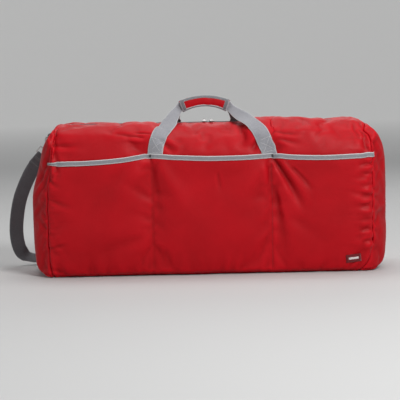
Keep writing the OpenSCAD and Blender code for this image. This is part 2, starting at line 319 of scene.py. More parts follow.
def bell(value, width):
    return math.exp(-(value / width) ** 2)


def wander(point, scale, seed):
    """Smooth noise from -1 to 1 at a point; scale is its size in metres."""
    return noise.noise(Vector(point) / scale + Vector((seed * 7.3, seed * 3.1, seed * 1.7)))


def crease(value):
    """Sharp-crested ripple from a smooth one."""
    return 1.0 - 2.0 * abs(value)


# ---------------------------------------------------------------- the bag's body
GRID = 8 * MM
SOFT_LEVEL = 0.25


def cad_skin():
    """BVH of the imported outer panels, to shape the body on."""
    points, faces = [], []
    for name in ("front_panel", "back_panel", "bottom_panel", *pair("end_panel"), *pair("zip_tab"),
                 "front_zip_tape", "back_zip_tape"):
        piece = nodes[name]
        start = len(points)
        points += [piece.matrix_world @ v.co for v in piece.data.vertices]
        faces += [[start + i for i in f.vertices] for f in piece.data.polygons]
    return BVHTree.FromPolygons(points, faces)


def stops(marks):
    """Evenly spaced values that include every mark."""
    values = [marks[0]]
    for low, high in zip(marks, marks[1:]):
        count = max(1, round((high - low) / GRID))
        values += [low + (high - low) * i / count for i in range(1, count + 1)]
    return values


def body_lattice():
    """Grid on a box's surface: lattice points, quads and each quad's side of the box."""
    xs = stops([-half_l, -seam_x, -anchor_x, anchor_x, seam_x, half_l])
    ys = stops([-half_d, -slot_y, slot_y, half_d])
    zs = stops([0.0, base_z, band_z, top_z])
    index, lattice, quads, sides = {}, [], [], []

    def point(i, j, k):
        if (i, j, k) not in index:
            index[i, j, k] = len(lattice)
            lattice.append((xs[i], ys[j], zs[k]))
        return index[i, j, k]

    def add(side, *corners):
        quads.append(tuple(point(*corner) for corner in corners))
        sides.append(side)

    nx, ny, nz = len(xs) - 1, len(ys) - 1, len(zs) - 1
    for i in range(nx):
        for k in range(nz):
            add("front", (i, 0, k), (i + 1, 0, k), (i + 1, 0, k + 1), (i, 0, k + 1))
            add("back", (i + 1, ny, k), (i, ny, k), (i, ny, k + 1), (i + 1, ny, k + 1))
        for j in range(ny):
            add("top", (i, j, nz), (i + 1, j, nz), (i + 1, j + 1, nz), (i, j + 1, nz))
            add("bottom", (i, j + 1, 0), (i + 1, j + 1, 0), (i + 1, j, 0), (i, j, 0))
    for j in range(ny):
        for k in range(nz):
            add("left", (0, j + 1, k), (0, j, k), (0, j, k + 1), (0, j + 1, k + 1))
            add("right", (nx, j, k), (nx, j + 1, k), (nx, j + 1, k + 1), (nx, j, k + 1))
    return lattice, quads, sides


def on_skin(skin, p):
    """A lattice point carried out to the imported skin."""
    core = Vector((half_l - 85 * MM, half_d - 80 * MM, 0))
    core_low, core_high = 60 * MM, top_z - 86 * MM
    q = Vector((min(core.x, max(-core.x, p[0])), min(core.y, max(-core.y, p[1])),
                min(core_high, max(core_low, p[2]))))
    way = (Vector(p) - q).normalized()
    start = q + way
    if abs(start.y) < slot_y and way.z > 0.9:
        start.y = math.copysign(slot_y + 1 * MM, p[1] if p[1] else 1.0)
    hit = skin.ray_cast(start, -way, 2.0)[0]
    if hit is None:
        return Vector(p)
    if abs(p[1]) < slot_y and way.z > 0.9:
        hit = Vector((hit.x, p[1], hit.z))
    return hit


def panel_of(centre, side):
    """The panel that a lattice quad belongs to."""
    x, y, z = centre
    if abs(x) > seam_x:
        return "left_end_panel" if x < 0 else "right_end_panel"
    if z < base_z:
        return "bottom_panel"
    if side == "top" and abs(y) < slot_y:
        return "zip_strip"
    return "front_panel" if y < 0 else "back_panel"


def cloth_inflate(piece, pinned, grow, pressure, frames, cap):
    """Inflates the closed mesh a little as cloth, with pinned points held; returns the new places.
    No point moves further than cap."""
    group = piece.vertex_groups.new(name="pin")
    for weight in sorted(set(pinned.values())):
        group.add([i for i, w in pinned.items() if w == weight], weight, "REPLACE")
    rest = np.array([v.co[:] for v in piece.data.vertices])
    cloth = piece.modifiers.new("cloth", "CLOTH")
    settings = cloth.settings
    settings.quality = 7
    settings.mass = 0.15
    settings.tension_stiffness = 18.0
    settings.compression_stiffness = 18.0
    settings.shear_stiffness = 6.0
    settings.bending_stiffness = 0.35
    settings.air_damping = 2.0
    settings.use_pressure = True
    settings.uniform_pressure_force = pressure
    settings.shrink_min = -grow
    settings.vertex_group_mass = "pin"
    settings.effector_weights.gravity = 0.0
    cloth.collision_settings.use_collision = False
    cloth.point_cache.frame_start = 1
    cloth.point_cache.frame_end = frames
    scene = bpy.context.scene
    for number in range(1, frames + 1):
        scene.frame_set(number)
    depsgraph = bpy.context.evaluated_depsgraph_get()
    result = np.array([v.co[:] for v in piece.evaluated_get(depsgraph).data.vertices])
    piece.modifiers.clear()
    scene.frame_set(1)
    move = result - rest
    length = np.linalg.norm(move, axis=1, keepdims=True)
    return rest + move * (np.tanh(length / cap) * cap / np.maximum(length, 1e-9))


def curve_seam(p):
    """Lattice point moved along the box so that the end seams curve inwards at the top and bottom."""
    x, y, z = p
    low, high, bend = (10 * MM, 12 * MM, 0.30) if x < 0 else (40 * MM, 12 * MM, 0.352)
    amount = low * (1 - smoothstep(0, 75 * MM, z)) ** 1.5 + high * smoothstep(bend, top_z, z)
    if abs(x) <= seam_x:
        share = smoothstep(seam_x - 120 * MM, seam_x, abs(x))
    else:
        share = 1 - (abs(x) - seam_x) / (half_l - seam_x)
    return (x - math.copysign(amount * share, x), y, z)


def draw_in(p):
    """The ends lean in towards the top, more on the left, the lower corners are round, and the
    walls roll under towards the base, with the base seam close to the floor."""
    x, y, z = p
    at_end = smoothstep(half_l - 75 * MM, half_l, abs(x))
    if x < 0:
        shoulder, round_off = 5 * MM + 23 * MM * smoothstep(0.195, 0.310, z), 5 * MM
    else:
        shoulder, round_off = 4 * MM + 8 * MM * smoothstep(0.25, 0.36, z), 11 * MM
    heel = round_off * (1 - smoothstep(0, 85 * MM, z)) ** 2
    tuck = 12 * MM * (1 - smoothstep(0, 125 * MM, z)) * smoothstep(60 * MM, half_d, abs(y))
    drop = 0.6 * z * (1 - smoothstep(base_z, base_z + 50 * MM, z))
    return (x - math.copysign((shoulder + heel) * at_end, x), y - math.copysign(tuck, y), z - drop)


def pin_weight(x, y, z):
    """How firmly the cloth is held at a lattice point: the end seams, the zip and the middle of the
    floor fully, the base seam and the pocket's bay seams less."""
    near = 0.01 * MM
    on_seam = abs(abs(x) - seam_x) < near
    on_zip = z >= top_z - near and abs(y) <= slot_y + near and abs(x) <= seam_x
    under = z < near and abs(y) < half_d - 30 * MM and abs(x) < half_l - 50 * MM
    if on_seam or on_zip or under:
        return 1.0
    if abs(z - base_z) < near and abs(y) > half_d - near:
        return 0.8
    if y < -half_d + near and abs(abs(x) - anchor_x) < near and z < band_z + 40 * MM:
        return 0.5
    return 0.0


def build_body():
    """The bag's skin as one closed mesh: lattice, quads, sides and the inflated places."""
    lattice, quads, sides = body_lattice()
    skin = cad_skin()
    rest = [on_skin(skin, curve_seam(p)) for p in lattice]
    piece = mesh_object("body_form", rest, quads, nylon)
    pinned = {i: pin_weight(*p) for i, p in enumerate(lattice) if pin_weight(*p)}
    places = cloth_inflate(piece, pinned, grow=0.035, pressure=1.2, frames=22, cap=11 * MM)
    bpy.data.objects.remove(piece)
    return lattice, quads, sides, np.array([draw_in(p) for p in places])


# Soft folds on the pocket side, as rows in mm for each place they are measured from:
# start x and z, end x and z, half width and height. x is from that place, z from band_z.
FOLDS = {
    anchor_x: [
        (9, 0, 94, -150, 8, -11.0), (30, -6, 110, -135, 9, 3.6), (-14, -20, -4, -200, 16, 4.0),
        (58, -30, 112, -95, 5, -5.0), (14, -85, 40, -280, 15, -10.0), (-20, -30, -135, -200, 36, 5.0),
        (60, -160, 190, -250, 24, -3.4), (-24, 45, -44, 5, 8, -8.0), (24, 40, 84, 22, 6, -3.8),
        (22, 60, 90, 50, 6, -3.0)],
    0.0: [(18, -42, 26, -95, 5, -2.4)],
    -anchor_x: [
        (16, -10, 115, -190, 28, 5.0), (6, -40, 28, -240, 15, -3.4), (-20, -10, -110, -150, 34, 4.6),
        (-70, -30, -190, -200, 30, -3.4), (-30, -200, -190, -255, 22, -3.4), (-16, 54, -92, 71, 5, -4.2),
        (-16, 42, -90, 50, 7, 2.8), (2, 66, -44, 78, 5, -3.4), (24, 45, 62, 8, 7, -8.0),
        (40, 52, 78, 18, 8, 2.4)],
    -seam_x: [
        (0, 38, 95, 30, 7, -4.6), (0, 22, 120, 12, 9, 2.4), (0, -50, 45, -75, 5, -3.6),
        (0, -100, 75, -125, 6, -3.6), (0, -225, 60, -212, 5, -3.0), (0, -265, 50, -278, 5, -3.0)],
    seam_x: [(0, -65, -60, -60, 6, -3.0), (0, -110, -75, -95, 7, -3.4), (0, -200, -60, -215, 7, -3.0)],
}


def front_folds():
    """The folds in metres, with the short ones where the right end seam draws the pocket side up."""
    rows = [(origin, *row) for origin, group in FOLDS.items() for row in group]
    for k in range(8):
        z = -22 - 28 * k
        drop = 4 + 14 * wander((0, 0, band_z + z * MM), 40 * MM, 21)
        rows.append((seam_x, 0, z, -46, z - drop, 5.0, -3.8))
        rows.append((seam_x, 0, z - 13, -40, z - 13 - drop, 5.5, 2.6))
    return [(origin + x0 * MM, band_z + z0 * MM, origin + x1 * MM, band_z + z1 * MM, width * MM, height * MM)
            for origin, x0, z0, x1, z1, width, height in rows]


def fold_height(x, z, folds):
    """Sum of the soft folds at a point of the pocket side."""
    total = 0.0
    for x0, z0, x1, z1, width, height in folds:
        dx, dz = x1 - x0, z1 - z0
        length = math.hypot(dx, dz)
        along = ((x - x0) * dx + (z - z0) * dz) / length
        if along < -2 * width or along > length + 2 * width:
            continue
        off = ((x - x0) * dz - (z - z0) * dx) / length
        spread = width * (0.55 + 0.75 * smoothstep(0, length, along))
        fade = smoothstep(-width, 0.12 * length, along)
        fade *= 1 - smoothstep(0.45 * length, length + width, along)
        total += height * fade * bell(off, spread)
    return total


def skin_relief(place, folds):
    """Height of seam grooves, gathers and folds at a lattice point of the skin."""
    x, y, z = place
    left, inner = x < 0, abs(x) < seam_x
    on_top = z > top_z - 1 * MM
    to_seam = abs(abs(x) - seam_x)
    height = -2.6 * MM * bell(to_seam, 3.2 * MM)
    reach = ((20 if left else 30) if inner else 14) * MM
    fade = math.exp(-to_seam / reach) * smoothstep(0, 5 * MM, to_seam)
    gather = crease(wander((abs(x) * 0.2 + 0.35 * z, y, z), 13 * MM, 1 if left else 2))
    strength = (0.7 + 0.9 * wander((0, y, z), 60 * MM, 3)) * (1 - 0.6 * smoothstep(0.33, top_z, z))
    height += (2.5 if left else 3.3) * MM * fade * gather * max(0.15, strength)
    if abs(y) > half_d - 1 * MM:
        to_base = abs(z - base_z)
        height -= 1.2 * MM * bell(to_base, 3.5 * MM)
        low = math.exp(-to_base / (20 * MM)) * smoothstep(0, 5 * MM, to_base)
        height += 1.6 * MM * low * crease(wander((x, y, z * 0.22), 22 * MM, 4))
    if on_top and inner:
        to_slot = abs(y) - slot_y
        edge = math.exp(-max(0.0, to_slot) / (16 * MM)) * smoothstep(0, 6 * MM, to_slot)
        height += 1.5 * MM * edge * crease(wander((x, y * 0.22, z), 21 * MM, 5))
    calm = smoothstep(slot_y, slot_y + 30 * MM, abs(y)) if on_top else 1.0
    height += calm * (1.1 * MM * wander((x, y, z), 95 * MM, 6) + 0.5 * MM * wander((x, y, z), 38 * MM, 7))
    if not inner:
        height += gusset_folds(x, y, z)
    elif z > top_z - 70 * MM:
        height += crown(x, y, z)
    if y < -half_d + 1 * MM:
        height += fold_height(x, z, folds)
    elif y > half_d - 1 * MM:
        height += 0.7 * fold_height(-x * 0.9, z * 0.85 + 0.04, folds)
    return height


def crown(x, y, z):
    """Fullness of the top beside the zip, outside the handles; more of it on the right."""
    across = smoothstep(top_z - 70 * MM, top_z, z) * smoothstep(slot_y + 8 * MM, slot_y + 34 * MM, abs(y))
    reach = abs(x)
    if x > 0:
        along = 15 * MM * smoothstep(74 * MM, 108 * MM, reach)
        along *= 1 - 0.15 * smoothstep(150 * MM, 210 * MM, reach)
        along *= 1 - 0.95 * smoothstep(245 * MM, 325 * MM, reach)
    else:
        along = 7 * MM * smoothstep(85 * MM, 120 * MM, reach)
        along *= 1 - 0.4 * smoothstep(200 * MM, 260 * MM, reach)
    return along * across * (1 - smoothstep(seam_x - 50 * MM, seam_x, reach))


def gusset_folds(x, y, z):
    """Long slanting folds on the end panels, from the seam downwards and inwards."""
    across = abs(x) - seam_x + half_d - abs(y)
    left = x < 0
    fade = smoothstep(2 * MM, 12 * MM, across) * (1 - smoothstep(45 * MM, 110 * MM, across))
    fade *= 1.0 if left else 0.45
    sway = 6 * MM * wander((across, y, z), 50 * MM, 12 if left else 14)
    total = 0.0
    # Height where the fold starts, slope, half width and depth
    for start_z, slope, width, depth in ((0.345, -1.5, 10 * MM, 3.4 * MM), (0.27, -1.1, 9 * MM, 2.6 * MM),
                                         (0.20, -0.6, 8 * MM, 2.0 * MM), (0.12, 0.5, 9 * MM, 2.2 * MM)):
        off = (z - start_z - slope * across - sway) / math.hypot(1.0, slope)
        total += depth * fade * (0.6 * bell(off - 1.8 * width, width) - bell(off, width))
    return total


def quad_centre(lattice, quad):
    """Middle of a quad on the lattice."""
    return [sum(lattice[i][axis] for i in quad) / 4 for axis in range(3)]


def refine_body(lattice, quads, sides, places):
    """Subdivides the inflated skin, keeps each point's lattice place and adds the fine relief."""
    labels = ["front_panel", "back_panel", "bottom_panel", *pair("end_panel"), "zip_strip"]
    piece = mesh_object("body_form", places, quads, nylon)
    mesh = piece.data
    for _ in labels[1:]:
        mesh.materials.append(nylon)
    for face, quad, side in zip(mesh.polygons, quads, sides):
        face.material_index = labels.index(panel_of(quad_centre(lattice, quad), side))
    store = mesh.attributes.new("lattice", "FLOAT_VECTOR", "POINT")
    store.data.foreach_set("vector", np.array(lattice, dtype=np.float32).ravel())
    smooth = piece.modifiers.new("smooth", "SUBSURF")
    smooth.levels = smooth.render_levels = 1
    mesh = apply_modifiers(piece).data
    lat = np.zeros(len(mesh.vertices) * 3, dtype=np.float32)
    mesh.attributes["lattice"].data.foreach_get("vector", lat)
    lat = lat.reshape(-1, 3).astype(float)
    normals = np.array([v.normal[:] for v in mesh.vertices])
    folds = front_folds()
    relief = np.array([skin_relief(p, folds) for p in lat])
    points = np.array([v.co[:] for v in mesh.vertices]) + normals * relief[:, None]
    points[:, 2] = np.maximum(points[:, 2], 0.4 * MM)
    faces = [tuple(f.vertices) for f in mesh.polygons]
    face_label = [labels[f.material_index] for f in mesh.polygons]
    bpy.data.objects.remove(piece)
    return lat, points, normals, faces, face_label


lattice, quads, sides, places = build_body()
lat, points, normals, faces, face_label = refine_body(lattice, quads, sides, places)
face_middle = lat[np.array(faces)].mean(axis=1)
body_tree = BVHTree.FromPolygons([Vector(p) for p in points], faces)


def faces_where(test):
    """Body faces whose label and mean lattice place pass a test."""
    return [face for face, label, middle in zip(faces, face_label, face_middle) if test(label, middle)]


def build_panels():
    """The five panels and the zip's end tabs; the front one lies lower under the pocket."""
    below = (lat[:, 1] < -half_d + 1 * MM) & (lat[:, 2] < band_z - 12 * MM)
    under_pocket = np.where(below & (np.abs(lat[:, 0]) < seam_x - 4 * MM), 1.6 * MM, 0.0)
    for name in ("front_panel", "back_panel", "bottom_panel", *pair("end_panel")):
        moved = points - normals * under_pocket[:, None] if name == "front_panel" else points
        skin_layer(name + "_skin", faces_where(lambda label, c: label == name), moved, nylon, 0.7 * MM,
                   "shell_fabric", name)
    for side, name in zip((-1, 1), pair("zip_tab")):
        tab = faces_where(lambda label, c: label == "zip_strip" and c[0] * side > zip_half - 2 * MM)
        skin_layer(name + "_skin", tab, points + normals * 0.4 * MM, nylon, 1.4 * MM, "shell_fabric", name)


# ---------------------------------------------------------------- the front pocket
POCKET_LIFT = 2.2 * MM
stitch_xs = (-anchor_x + 2 * MM, anchor_x + 8 * MM)
# Each bay of the pocket: its left and right end, and its mouth's height over band_z at each
BAYS = [(-seam_x, stitch_xs[0], -14 * MM, 1 * MM), (*stitch_xs, 1 * MM, -4 * MM),
        (stitch_xs[1], seam_x, -4 * MM, -6 * MM)]


def mouth_z(x):
    """Height of the pocket's mouth: it dips between the places where it is sewn down."""
    for left, right, rise_left, rise_right in BAYS:
        if left <= x <= right:
            t = (x - left) / (right - left)
            return band_z + rise_left + (rise_right - rise_left) * t - 5.5 * MM * math.sin(math.pi * t)
    return band_z


def mouth_gape(x):
    """How far the pocket's mouth stands off the panel."""
    nearest = min(abs(x - sewn) for sewn in (-seam_x, *stitch_xs, seam_x))
    return 2.6 * MM * smoothstep(0, 90 * MM, nearest)


def pocket_lift(p):
    """Distance of the pocket's cloth from the panel under it, at a lattice point."""
    x, y, z = p
    sewn = smoothstep(0, 14 * MM, seam_x - abs(x)) * smoothstep(0, 16 * MM, z - base_z)
    lift = 0.5 * MM + POCKET_LIFT * sewn
    lift += mouth_gape(x) * smoothstep(band_z - 70 * MM, band_z, z)
    bay = min(abs(x - s) for s in stitch_xs)
    lift -= 1.5 * MM * bell(bay, 2.6 * MM) * sewn
    ripple = crease(wander((x * 0.3, y, z), 30 * MM, 8)) * math.exp(-bay / (14 * MM))
    return lift + 0.7 * MM * ripple * smoothstep(0, 5 * MM, bay) * sewn


def build_pocket():
    inside = faces_where(lambda label, c: label == "front_panel" and c[1] < -half_d + 1 * MM
                         and c[2] < band_z and abs(c[0]) < seam_x)
    moved = points.copy()
    for i in {i for f in inside for i in f}:
        x, y, z = lat[i]
        moved[i] += normals[i] * pocket_lift(lat[i])
        moved[i][2] += (mouth_z(x) - band_z) * smoothstep(band_z - 60 * MM, band_z, z)
    skin_layer("front_pocket_cloth", inside, moved, nylon, 0.7 * MM, "shell_fabric", "front_pocket")


def front_at(x, z, lift):
    """Point and normal on the pocket side at x, z, lifted off the skin."""
    hit, normal, _, _ = body_tree.ray_cast(Vector((x, -1.0, z)), Vector((0, 1, 0)), 2.0)
    return hit + normal * lift, normal


def around_at(x, angle, side, lift):
    """Point and normal on the skin seen from inside the bag: angle is up from the side (-1 front)."""
    centre = Vector((x, 0, SOFT_LEVEL))
    out = Vector((0, side * math.cos(angle), math.sin(angle)))
    hit, normal, _, _ = body_tree.ray_cast(centre + out, -out, 1.0)
    return hit + normal * lift, normal


# ---------------------------------------------------------------- ribbons, stitches and splines
def spline(knots, step):
    """Points along a Catmull-Rom curve through the knots, about step apart."""
    padded = [knots[0] * 2 - knots[1]] + knots + [knots[-1] * 2 - knots[-2]]
    curve = []
    for a, b, c, d in zip(padded, padded[1:], padded[2:], padded[3:]):
        count = max(2, round((c - b).length / step))
        for k in range(count):
            t = k / count
            curve.append(0.5 * ((2 * b) + (c - a) * t + (2 * a - 5 * b + 4 * c - d) * t * t
                                + (3 * b - a - 3 * c + d) * t ** 3))
    curve.append(knots[-1])
    return curve


def circle(middle, radius, a, b, count):
    """Points round a circle in the plane of two vectors."""
    turns = [2 * math.pi * k / count for k in range(count)]
    return [middle + radius * (a * math.cos(turn) + b * math.sin(turn)) for turn in turns]


def half_turn(centre, out, way, radius):
    """Path and facings of webbing that turns back round a bar."""
    turns = [out * math.cos(math.pi * k / 12) - way * math.sin(math.pi * k / 12) for k in range(13)]
    return [centre + turn * radius for turn in turns], turns


def axes_at(path, facing, i):
    """Direction of a path at a step, and the facing there made square to it."""
    tangent = (path[min(i + 1, len(path) - 1)] - path[max(i - 1, 0)]).normalized()
    return tangent, (facing[i] - tangent * facing[i].dot(tangent)).normalized()


def section_points(width, thickness, across):
    """Closed outline of a flat strap: (offset across, height), top side first."""
    edge = min(0.35 * thickness, 0.1 * width)
    half, top = width / 2, thickness / 2
    shoulder = top * 0.35
    upper = [(-half + edge + (width - 2 * edge) * k / across, top) for k in range(across + 1)]
    lower = [(u, -h) for u, h in reversed(upper)]
    return upper + [(half, shoulder), (half, -shoulder)] + lower + [(-half, -shoulder), (-half, shoulder)]


def ribbon(name, path, facing, width, thickness, material, across=6, under=None, widths=None):
    """Flat strap along a path. facing holds a vector per point that its broad side turns to.
    UVs are metres: U across from the middle, V along. under is the material of its other side."""
    made_points, along, total = [], [], 0.0
    for i, p in enumerate(path):
        tangent, up = axes_at(path, facing, i)
        side = tangent.cross(up)
        outline = section_points(widths[i] if widths else width, thickness, across)
        made_points += [p + side * u + up * h for u, h in outline]
        if i:
            total += (p - path[i - 1]).length
        along.append(total)
    offsets = [u for u, _ in section_points(width, thickness, across)]
    size = len(offsets)
    last = (len(path) - 1) * size
    caps = [list(range(size)), [last + k for k in reversed(range(size))]]
    piece = mesh_object(name, made_points, loft_faces(len(path), size) + caps, material)
    lay_uvs(piece, offsets, along)
    if under is not None:
        piece.data.materials.append(under)
        for face in piece.data.polygons:
            face.material_index = int(across + 3 <= face.index % size < 2 * across + 3)
    bm = bmesh.new()
    bm.from_mesh(piece.data)
    bmesh.ops.recalc_face_normals(bm, faces=bm.faces)
    bm.to_mesh(piece.data)
    bm.free()
    piece.data.shade_smooth()
    return piece


def stitches(name, rows, material, pitch=3.6 * MM, length=2.5 * MM, radius=0.32 * MM):
    """Sewn stitches along rows; each row is a list of (point, normal)."""
    made_points, made_faces = [], []
    corners = 6
    # Share of the length, thickness and rise of a stitch's rings
    rings = ((0.0, 0.35, 0.2), (0.22, 1.0, 0.6), (0.78, 1.0, 0.6), (1.0, 0.35, 0.2))
    for row in rows:
        marks = [0.0]
        for (a, _), (b, _) in zip(row, row[1:]):
            marks.append(marks[-1] + (b - a).length)
        count = max(1, int(marks[-1] / pitch))
        for s in range(count):
            centre_mark = (s + 0.5) * marks[-1] / count
            ends = []
            for mark in (centre_mark - length / 2, centre_mark + length / 2):
                k = max(0, min(len(marks) - 2, sum(1 for m in marks if m <= mark) - 1))
                t = (mark - marks[k]) / max(1e-9, marks[k + 1] - marks[k])
                ends.append(row[k][0].lerp(row[k + 1][0], t))
            normal = row[k][1].normalized()
            side = (ends[1] - ends[0]).normalized().cross(normal).normalized()
            start = len(made_points)
            for t, thick, rise in rings:
                middle = ends[0].lerp(ends[1], t) + normal * radius * rise
                made_points += circle(middle, radius * thick, side, normal, corners)
            made_faces += loft_faces(len(rings), corners, start)
            made_faces.append([start + c for c in reversed(range(corners))])
            made_faces.append([len(made_points) - corners + c for c in range(corners)])
    return mesh_object(name, made_points, made_faces, material)


def build_binding():
    """Grosgrain tape folded over the pocket's mouth, with a row of stitches near each edge."""
    path, facing, widths, rows = [], [], [], ([], [])
    left_end, right_end = -seam_x + 13 * MM, seam_x - 3 * MM
    count, inset = 150, 4
    for k in range(count + 1):
        along = (right_end - left_end) * k / count
        x = left_end + along
        lift = 1.6 * MM + POCKET_LIFT * smoothstep(0, 14 * MM, seam_x - abs(x)) + mouth_gape(x)
        p, n = front_at(x, mouth_z(x), lift)
        n = (n + Vector((0, -1.2, 0))).normalized()
        path.append(p)
        facing.append(n)
        widths.append(band_h * (0.5 + 0.5 * smoothstep(0, 26 * MM, along)))
        for row, sign in zip(rows, (-1, 1)):
            row.append((p + Vector((0, 0, sign * 0.33 * band_h)) + n * 1.15 * MM, n))
    piece = ribbon("pocket_mouth_tape", path, facing, band_h, 2.4 * MM, tape, 8, widths=widths)
    finish_piece(piece, "root", "binding_tape", "pocket_binding")
    sewn = [row[inset:-inset] for row in rows]
    finish_piece(stitches("pocket_mouth_stitches", sewn, grey_thread, 4.2 * MM, 3.0 * MM),
                 "root", "binding_tape")
    bars = []
    up = Vector((0, 0, 4.2 * MM))
    for x in stitch_xs:
        p, n = front_at(x, mouth_z(x), POCKET_LIFT + 3.0 * MM)
        for k in range(7):
            shifted = p + Vector(((k - 3) * 0.9 * MM, 0, 0))
            bars.append([(shifted - up, n), (shifted + up, n)])
    finish_piece(stitches("pocket_bartacks", bars, dark_thread, 8.4 * MM, 8.0 * MM, 0.5 * MM),
                 "root", "binding_tape")


def build_pocket_stitches():
    rows = []
    count, low = 59, base_z + 8 * MM
    for x in stitch_xs:
        top = mouth_z(x) - band_h / 2 - 1 * MM
        heights = [low + (top - low) * k / count for k in range(count + 1)]
        rows.append([front_at(x, z, pocket_lift((x, -half_d, z)) + 0.1 * MM) for z in heights])
    finish_piece(stitches("pocket_bay_stitches", rows, red_thread), "root", "shell_fabric")


def build_label():
    """Plain woven tag with a border and a pale bar, and no lettering."""
    low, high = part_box("woven_label")
    # A little inwards, so that the tag lies clear of the end seam's gathers
    mid_x, mid_z = (low.x + high.x) / 2 - 5 * MM, (low.z + high.z) / 2 - 1 * MM
    tilt = math.radians(5)
    half, tag_h = (high.x - low.x) / 2, high.z - low.z
    steps = 8
    hits = []
    for k in range(steps + 1):
        t = -half + 2 * half * k / steps
        x, z = mid_x + t * math.cos(tilt), mid_z + t * math.sin(tilt)
        hits.append(front_at(x, z, pocket_lift((x, -half_d, z))))
    left, right = hits[0][0], hits[-1][0]
    normal = sum((n for _, n in hits), Vector()).normalized()
    raised = max((p - left.lerp(right, k / steps)).dot(normal) for k, (p, _) in enumerate(hits))
    along = (right - left).normalized()

    def strip(name, half_width, height, lift, thickness, material, *replaced):
        """Flat strip lying over the middle of the tag's place."""
        middle = (left + right) / 2 + normal * (raised + lift)
        path = [middle + along * (half_width * (2 * k / steps - 1)) for k in range(steps + 1)]
        piece = ribbon(name, path, [normal] * (steps + 1), height, thickness, material, 5)
        finish_piece(piece, "root", "label_weave", *replaced)

    maroon = webbing_material("label_cloth", (0.17, 0.002, 0.006), (0.12, 0.002, 0.005), tag_h, 0.6 * MM)
    pale = webbing_material("label_bar", (0.80, 0.70, 0.69), (0.80, 0.70, 0.69), 6 * MM, 0.6 * MM)
    strip("label_patch", half, tag_h, 0.9 * MM, 0.9 * MM, maroon, "woven_label")
    strip("label_pale_bar", half * 0.68, 5.4 * MM, 1.5 * MM, 0.5 * MM, pale)


build_panels()
build_pocket()
build_binding()
build_pocket_stitches()
build_label()


# ---------------------------------------------------------------- layers inside the skin
def build_padding():
    """Foam pads that follow the skin at a depth under it."""
    wall_low, wall_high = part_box("front_foam_pad")
    end_low, end_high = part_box("left_foam_pad")
    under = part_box("bottom_foam_pad")[1]

    def pad(name, depth, thickness, test):
        skin_layer(name + "_foam", faces_where(test), points - normals * depth, foam_stuff, thickness,
                   "foam", name + "_foam_pad")

    for side, name in ((-1, "front"), (1, "back")):
        pad(name, 2.6 * MM, 4.4 * MM, lambda label, c: c[1] * side > half_d - 1 * MM
            and abs(c[0]) < wall_high.x and wall_low.z < c[2] < wall_high.z)
    for side, name in ((-1, "left"), (1, "right")):
        pad(name, 1.8 * MM, 4.4 * MM, lambda label, c: c[0] * side > half_l - 1 * MM
            and abs(c[1]) < end_high.y and end_low.z < c[2] < end_high.z)
    pad("bottom", 1.1 * MM, 2.6 * MM, lambda label, c: c[2] < 1 * MM
        and abs(c[0]) < under.x and abs(c[1]) < under.y)


def build_lining():
    """Loose inner bag on the coarse skin, open along the zip."""
    form = mesh_object("lining_form", places, quads, lining_cloth)
    inward = np.array([v.normal[:] for v in form.data.vertices])
    bpy.data.objects.remove(form)
    loose = [9 * MM + 1.5 * MM * wander(p, 60 * MM, 9) for p in lattice]
    moved = places - inward * np.array(loose)[:, None]
    kept = []
    for quad, side in zip(quads, sides):
        centre = quad_centre(lattice, quad)
        if panel_of(centre, side) != "zip_strip" or abs(centre[0]) > zip_half:
            kept.append(quad)
    skin_layer("lining_bag", kept, moved, lining_cloth, 0.8 * MM, "lining_fabric", "lining")


# ---------------------------------------------------------------- the zip
def build_zip():
    for side, name in ((-1, "front"), (1, "back")):
        strip = faces_where(lambda label, c: label == "zip_strip" and abs(c[0]) < zip_half - 2 * MM
                            and c[1] * side > slot_y / 4)
        skin_layer(name + "_zip_cloth", strip, points - normals * 0.3 * MM, zip_cloth, 0.9 * MM,
                   "zip_tape", name + "_zip_tape")
        finish_piece(zip_teeth(name + "_zip_teeth", side), "root", "zip_coil", name + "_zip_coil")


def zip_teeth(name, side):
    """Coil of round wire along the zip; the two coils mesh at the middle."""
    low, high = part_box("front_zip_coil")
    pitch, steps, wire, corners = 2.6 * MM, 10, 0.42 * MM, 5
    reach_y, reach_z = 1.9 * MM, 0.95 * MM
    middle_y, middle_z = 1.75 * MM, top_z - 0.25 * MM
    shift = 0.5 * pitch if side > 0 else 0.0
    rings = int((high.x - low.x) / pitch) * steps
    made_points = []
    for k in range(rings):
        angle = 2 * math.pi * k / steps
        across, up = math.cos(angle), math.sin(angle)
        centre = Vector((low.x + shift + pitch * k / steps, side * (middle_y + reach_y * across),
                         middle_z + reach_z * up))
        made_points += circle(centre, wire, Vector((0, side * across, up)), Vector((1, 0, 0)), corners)
    ends = [list(reversed(range(corners))), [(rings - 1) * corners + c for c in range(corners)]]
    return mesh_object(name, made_points, loft_faces(rings, corners) + ends, coil_plastic)


def dress_hard_parts():
    """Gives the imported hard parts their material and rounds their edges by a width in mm."""
    parts = [("zip_stops", nickel, 0.3)]
    for kind, edge in (("zip_slider", 0.35), ("zip_pull", 0.25), ("ring", 0.0), ("hook", 0.3),
                       ("hook_gate", 0.3), ("strap_eye", 0.4)):
        parts += [(name, nickel, edge) for name in pair(kind)]
    parts += [("strap_adjuster", buckle_plastic, 0.8), ("bottom_board", board_stuff, 0.5)]
    for name, material, edge in parts:
        node = nodes[name]
        node.data.materials.clear()
        node.data.materials.append(material)
        if edge:
            round_edges(node, edge * MM)


def round_edges(piece, width):
    bevel = piece.modifiers.new("edges", "BEVEL")
    bevel.width = width
    bevel.segments = 2
    bevel.limit_method = "ANGLE"
    bevel.angle_limit = math.radians(35)
    bevel.harden_normals = False


# ---------------------------------------------------------------- carry handles
GRIP_L, GRIP_RISE = 120 * MM, 12 * MM
GRIP_H, GRIP_T = 13 * MM, 9.6 * MM
arch_r = ((GRIP_L / 2) ** 2 + GRIP_RISE ** 2) / (2 * GRIP_RISE)
arch_half = math.asin(GRIP_L / 2 / arch_r)
arch_z = grip_top - GRIP_H - arch_r
grip_mid = -7 * MM
